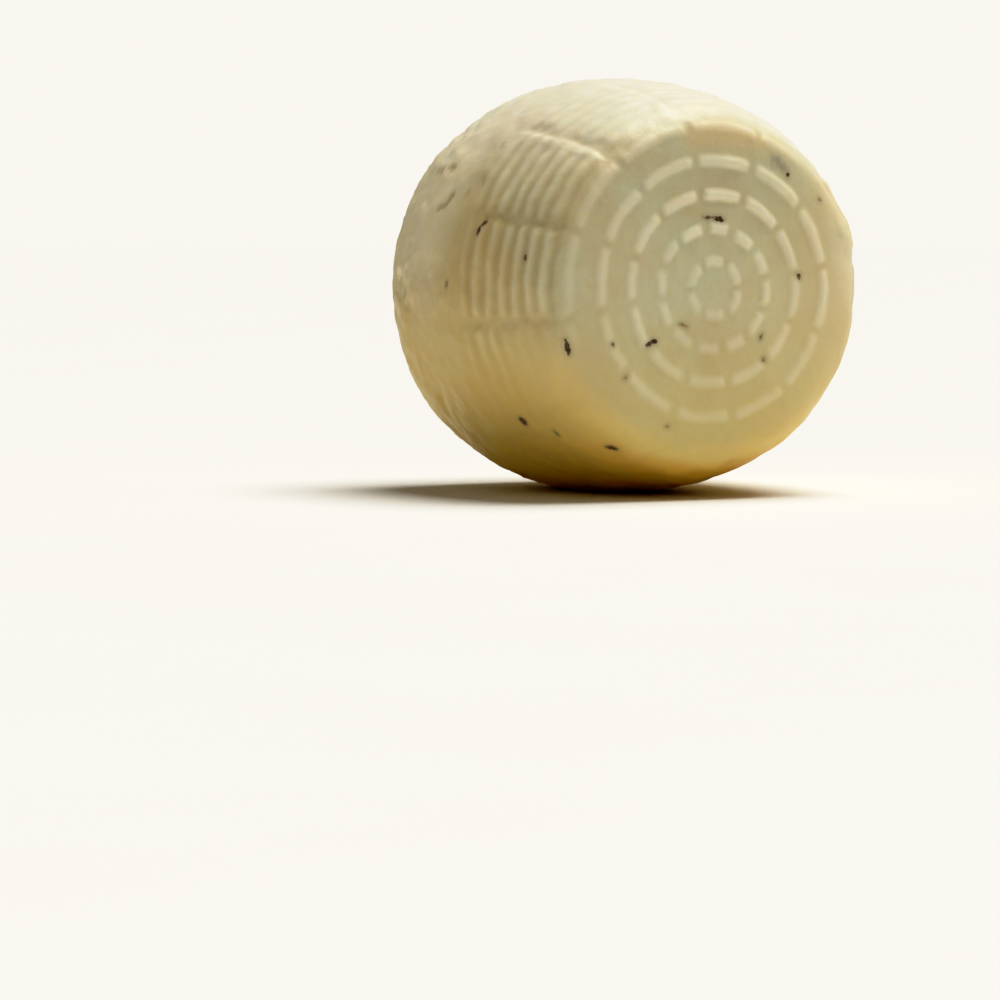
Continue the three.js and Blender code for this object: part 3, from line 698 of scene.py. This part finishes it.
def makeFleckPoints():
    # each fleck starts inside the cheese and is sent out along its heading until it meets the surface
    axis = barrel["bellyRadius"] - barrel["restDepth"]
    wall, rear = scatteredFlecks()
    chips = [("front", *row) for row in faceFlecks]
    chips += [("wall", *row) for row in wallFlecks + wall]
    chips += [("rear", *row) for row in rear]
    points, rows = [], []
    for side, angle, spot, length, width, turn, fade in chips:
        angle = math.radians(angle)
        ray = Vector((math.cos(angle), 0.0, math.sin(angle)))
        if side == "wall":
            points.append(Vector((0.0, barrel["middleAxial"] - spot * mm, axis)))
            heading = ray
        else:
            points.append(ray * spot * mm + Vector((0.0, 0.0, axis)))
            heading = Vector((0.0, -1.0 if side == "front" else 1.0, 0.0))
        around = Vector((-math.sin(angle), 0.0, math.cos(angle)))
        size = Vector((length * mm / 2, width * mm / 2, flecks["halfDepth"]))
        rows.append({"heading": heading, "around": around, "size": size, "turn": math.radians(turn),
                     "fade": fade})
    piece = newPiece("truffleFlecks", points)
    for label in rows[0]:
        isVector = isinstance(rows[0][label], Vector)
        layer = piece.data.attributes.new(label, "FLOAT_VECTOR" if isVector else "FLOAT", "POINT")
        for item, row in zip(layer.data, rows):
            if isVector:
                item.vector = row[label]
            else:
                item.value = row[label]
    return piece


def makeFlecks(surface, material):
    piece = makeFleckPoints()
    settings = {**flecks, "raggedScale": 1 / flecks["raggedSize"], "surface": surface, "truffle": material}
    tree, given = startTree("pressedFlecks", settings)
    named = {}
    for label in ("heading", "around", "size", "turn"):
        kind = "FLOAT" if label == "turn" else "FLOAT_VECTOR"
        named[label] = addNode(tree, "GeometryNodeInputNamedAttribute", (label,), data_type=kind)
    target = addNode(tree, "GeometryNodeObjectInfo", (given["surface"],), pick="Geometry")
    hit = addNode(tree, "GeometryNodeRaycast", {"Target Geometry": target, "Ray Direction": named["heading"],
                                                "Ray Length": 1.0}).node.outputs
    turned = addNode(tree, "ShaderNodeVectorRotate", {"Vector": named["around"], "Axis": hit["Hit Normal"],
                                                      "Angle": named["turn"]}, rotation_type="AXIS_ANGLE")
    turned = addNode(tree, "FunctionNodeAxesToRotation", (hit["Hit Normal"], turned),
                     primary_axis="Z", secondary_axis="X")
    # captured before the points move, because the ray starts from where they are
    capture = addNode(tree, "GeometryNodeCaptureAttribute", (given["Mesh"],)).node
    held = {"place": hit["Hit Position"], "upright": hit["Hit Normal"], "turned": turned}
    for number, (label, feed) in enumerate(held.items()):
        capture.capture_items.new("ROTATION" if label == "turned" else "VECTOR", label)
        tree.links.new(feed, capture.inputs[number + 1])
        held[label] = capture.outputs[number + 1]
    moved = addNode(tree, moveNode, {"Geometry": capture.outputs[0], "Position": held["place"]})
    chip = addNode(tree, "GeometryNodeMeshIcoSphere", (1.0, given["rounds"]))
    # distance from the middle of the chip, for the fading of its colour
    plane = addNode(tree, vectorNode, (addNode(tree, placeNode), (1.0, 1.0, 0.0)), operation="MULTIPLY")
    rim = addNode(tree, vectorNode, (plane,), pick="Value", operation="LENGTH")
    chip = addNode(tree, storeNode, {"Geometry": chip, "Name": "rim", "Value": rim}, **onPoints)
    chips = addNode(tree, "GeometryNodeInstanceOnPoints", {
        "Points": moved, "Instance": chip, "Rotation": held["turned"], "Scale": named["size"]})
    chips = addNode(tree, "GeometryNodeRealizeInstances", {"Geometry": chips})
    # a ragged outline, then each point goes to the cheese's surface with its own height above or below it
    here = addNode(tree, placeNode)
    ragged = addNode(tree, noiseNode, {"Vector": here, "Scale": given["raggedScale"],
                                       "Detail": given["raggedDetail"]}, pick="Color")
    ragged = addNode(tree, vectorNode, (ragged, [noiseMean] * 3), operation="SUBTRACT")
    ragged = addNode(tree, vectorNode, {0: ragged, "Scale": given["ragged"]}, operation="SCALE")
    torn = addNode(tree, vectorNode, (here, ragged), operation="ADD")
    fromMiddle = addNode(tree, vectorNode, (here, held["place"]), operation="SUBTRACT")
    height = addNode(tree, vectorNode, (fromMiddle, held["upright"]), pick="Value", operation="DOT_PRODUCT")
    height = addNode(tree, mathNode, (height, given["proud"]), operation="MINIMUM")
    lift = addNode(tree, vectorNode, {0: held["upright"], "Scale": given["reach"]}, operation="SCALE")
    start = addNode(tree, vectorNode, (torn, lift), operation="ADD")
    inward = addNode(tree, vectorNode, {0: held["upright"], "Scale": -1.0}, operation="SCALE")
    depth = addNode(tree, mathNode, (given["reach"], 2.0), operation="MULTIPLY")
    skin = addNode(tree, "GeometryNodeRaycast", {"Target Geometry": target, "Source Position": start,
                                                 "Ray Direction": inward, "Ray Length": depth}).node.outputs
    raised = addNode(tree, vectorNode, {0: held["upright"], "Scale": height}, operation="SCALE")
    raised = addNode(tree, vectorNode, (skin["Hit Position"], raised), operation="ADD")
    chips = addNode(tree, moveNode, {"Geometry": chips, "Selection": skin["Is Hit"], "Position": raised})
    chips = addNode(tree, "GeometryNodeSetShadeSmooth", {"Geometry": chips, "Shade Smooth": True})
    chips = addNode(tree, "GeometryNodeSetMaterial", {"Geometry": chips, "Material": given["truffle"]})
    addNode(tree, "NodeGroupOutput", (chips,))
    bakeTree(piece, tree, settings)
    return piece


truffleMaterial = makeTruffle()
fleckPiece = makeFlecks(cheese, truffleMaterial)
print("flecks:", len(fleckPiece.data.polygons), "faces")

stain = {"reach": 1.4 * mm, "strength": 0.22}


def stainCheese(piece, source, material):
    # the paste takes a little colour round each fleck
    settings = {**stain, "flecks": source, "rind": material}
    tree, given = startTree("fleckStain", settings)
    target = addNode(tree, "GeometryNodeObjectInfo", (given["flecks"],), pick="Geometry")
    near = addNode(tree, "GeometryNodeProximity", (target,), pick="Distance", target_element="FACES")
    depth = addNode(tree, rangeNode, (near, 0.0, given["reach"], given["strength"], 0.0), **smooth)
    stained = addNode(tree, storeNode, {"Geometry": given["Mesh"], "Name": "stain", "Value": depth},
                      **onPoints)
    stained = addNode(tree, "GeometryNodeRealizeInstances", {"Geometry": stained})
    stained = addNode(tree, "GeometryNodeSetMaterial", {"Geometry": stained, "Material": given["rind"]})
    addNode(tree, "NodeGroupOutput", (stained,))
    bakeTree(piece, tree, settings)


stainCheese(cheese, fleckPiece, rindMaterial)
print("stain round the flecks stored")

for piece in (cheese, fleckPiece):
    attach(piece, "root")
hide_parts("caciotta")


# Floor, light and camera

bpy.ops.mesh.primitive_circle_add(vertices=floorLook["corners"], radius=floorLook["reach"],
                                  fill_type="NGON")
floor = bpy.context.object
floor.name = "paleFloor"
floor.data.materials.append(makeBoard())

shot = {
    "azimuth": -28.72, "elevation": 0.68, "distance": 1.2,       # from the middle of the belly to the lens
    "imageSide": 1000, "focalPixels": 4116, "bellyPixel": (609.3, 286.5), "sensor": 36.0,
}
belly = Vector((0.0, barrel["middleAxial"], barrel["bellyRadius"] - barrel["restDepth"]))


def makeCamera():
    # stands where the belly's middle falls on its pixel of the picture, with level sides and no shift
    turn, rise = math.radians(shot["azimuth"]), math.radians(shot["elevation"])
    back = Vector((math.sin(turn) * math.cos(rise), -math.cos(turn) * math.cos(rise), math.sin(rise)))
    middle = shot["imageSide"] / 2
    right = (shot["bellyPixel"][0] - middle) / shot["focalPixels"]
    up = (middle - shot["bellyPixel"][1]) / shot["focalPixels"]
    slant = math.sqrt((right ** 2 + up ** 2 + 1) / (up ** 2 + 1))
    pitch = math.atan(up) + math.asin(slant * math.sin(rise))
    heading = -turn - math.atan2(right, math.cos(pitch) + up * math.sin(pitch))
    data = bpy.data.cameras.new("camera")
    data.sensor_width = shot["sensor"]
    data.lens = shot["focalPixels"] / shot["imageSide"] * shot["sensor"]
    camera = bpy.data.objects.new("camera", data)
    camera.location = belly + back * shot["distance"]
    camera.rotation_euler = (math.pi / 2 - pitch, 0.0, -heading)
    bpy.context.scene.collection.objects.link(camera)
    bpy.context.scene.camera = camera


makeCamera()

# direction from the cheese towards the lamp, its width as an angle in degrees, its strength and its colour
lamps = {
    "key": ((0.30, -0.05, 0.95), 40.0, 3.2, "#fffdf8"),
    "front": ((0.0, -0.65, 0.75), 50.0, 0.05, "#f2f6ff"),
}


def makeLamps():
    for name, (direction, width, strength, colour) in lamps.items():
        data = bpy.data.lights.new(name, "SUN")
        data.angle = math.radians(width)
        data.energy = strength
        data.color = hexColour(colour)[:3]
        lamp = bpy.data.objects.new(name, data)
        lamp.location = belly + Vector(direction)
        lamp.rotation_euler = Vector(direction).to_track_quat("Z", "Y").to_euler()
        bpy.context.scene.collection.objects.link(lamp)


makeLamps()

room = {"shown": "#f4f1e7", "light": "#fffaf0", "strength": 0.12}      # shown matches the lit floor


def makeRoom():
    # a pale studio: bright where it is seen, soft as light
    world = bpy.data.worlds.new("studio")
    bpy.context.scene.world = world
    world.use_nodes = True
    tree = world.node_tree
    tree.nodes.clear()
    seen = addNode(tree, "ShaderNodeLightPath", pick="Is Camera Ray")
    light = addNode(tree, "ShaderNodeBackground", (hexColour(room["light"]), room["strength"]))
    shown = addNode(tree, "ShaderNodeBackground", (hexColour(room["shown"]), 1.0))
    both = addNode(tree, "ShaderNodeMixShader", (seen, light, shown))
    addNode(tree, "ShaderNodeOutputWorld", {"Surface": both})


makeRoom()

# a camera's tone curve: deeper shadows and brighter lights, in linear values
tone = ((0.012, 0.001), (0.06, 0.042), (0.16, 0.135), (0.4, 0.41), (0.7, 0.78))
allColours = 3                           # the curve that acts on red, green and blue alike


def setTone():
    view = bpy.context.scene.view_settings
    view.view_transform = "Standard"
    view.use_curve_mapping = True
    for given, shown in tone:
        view.curve_mapping.curves[allColours].points.new(given, shown)
    view.curve_mapping.update()


setTone()
print("floor, camera and light set")
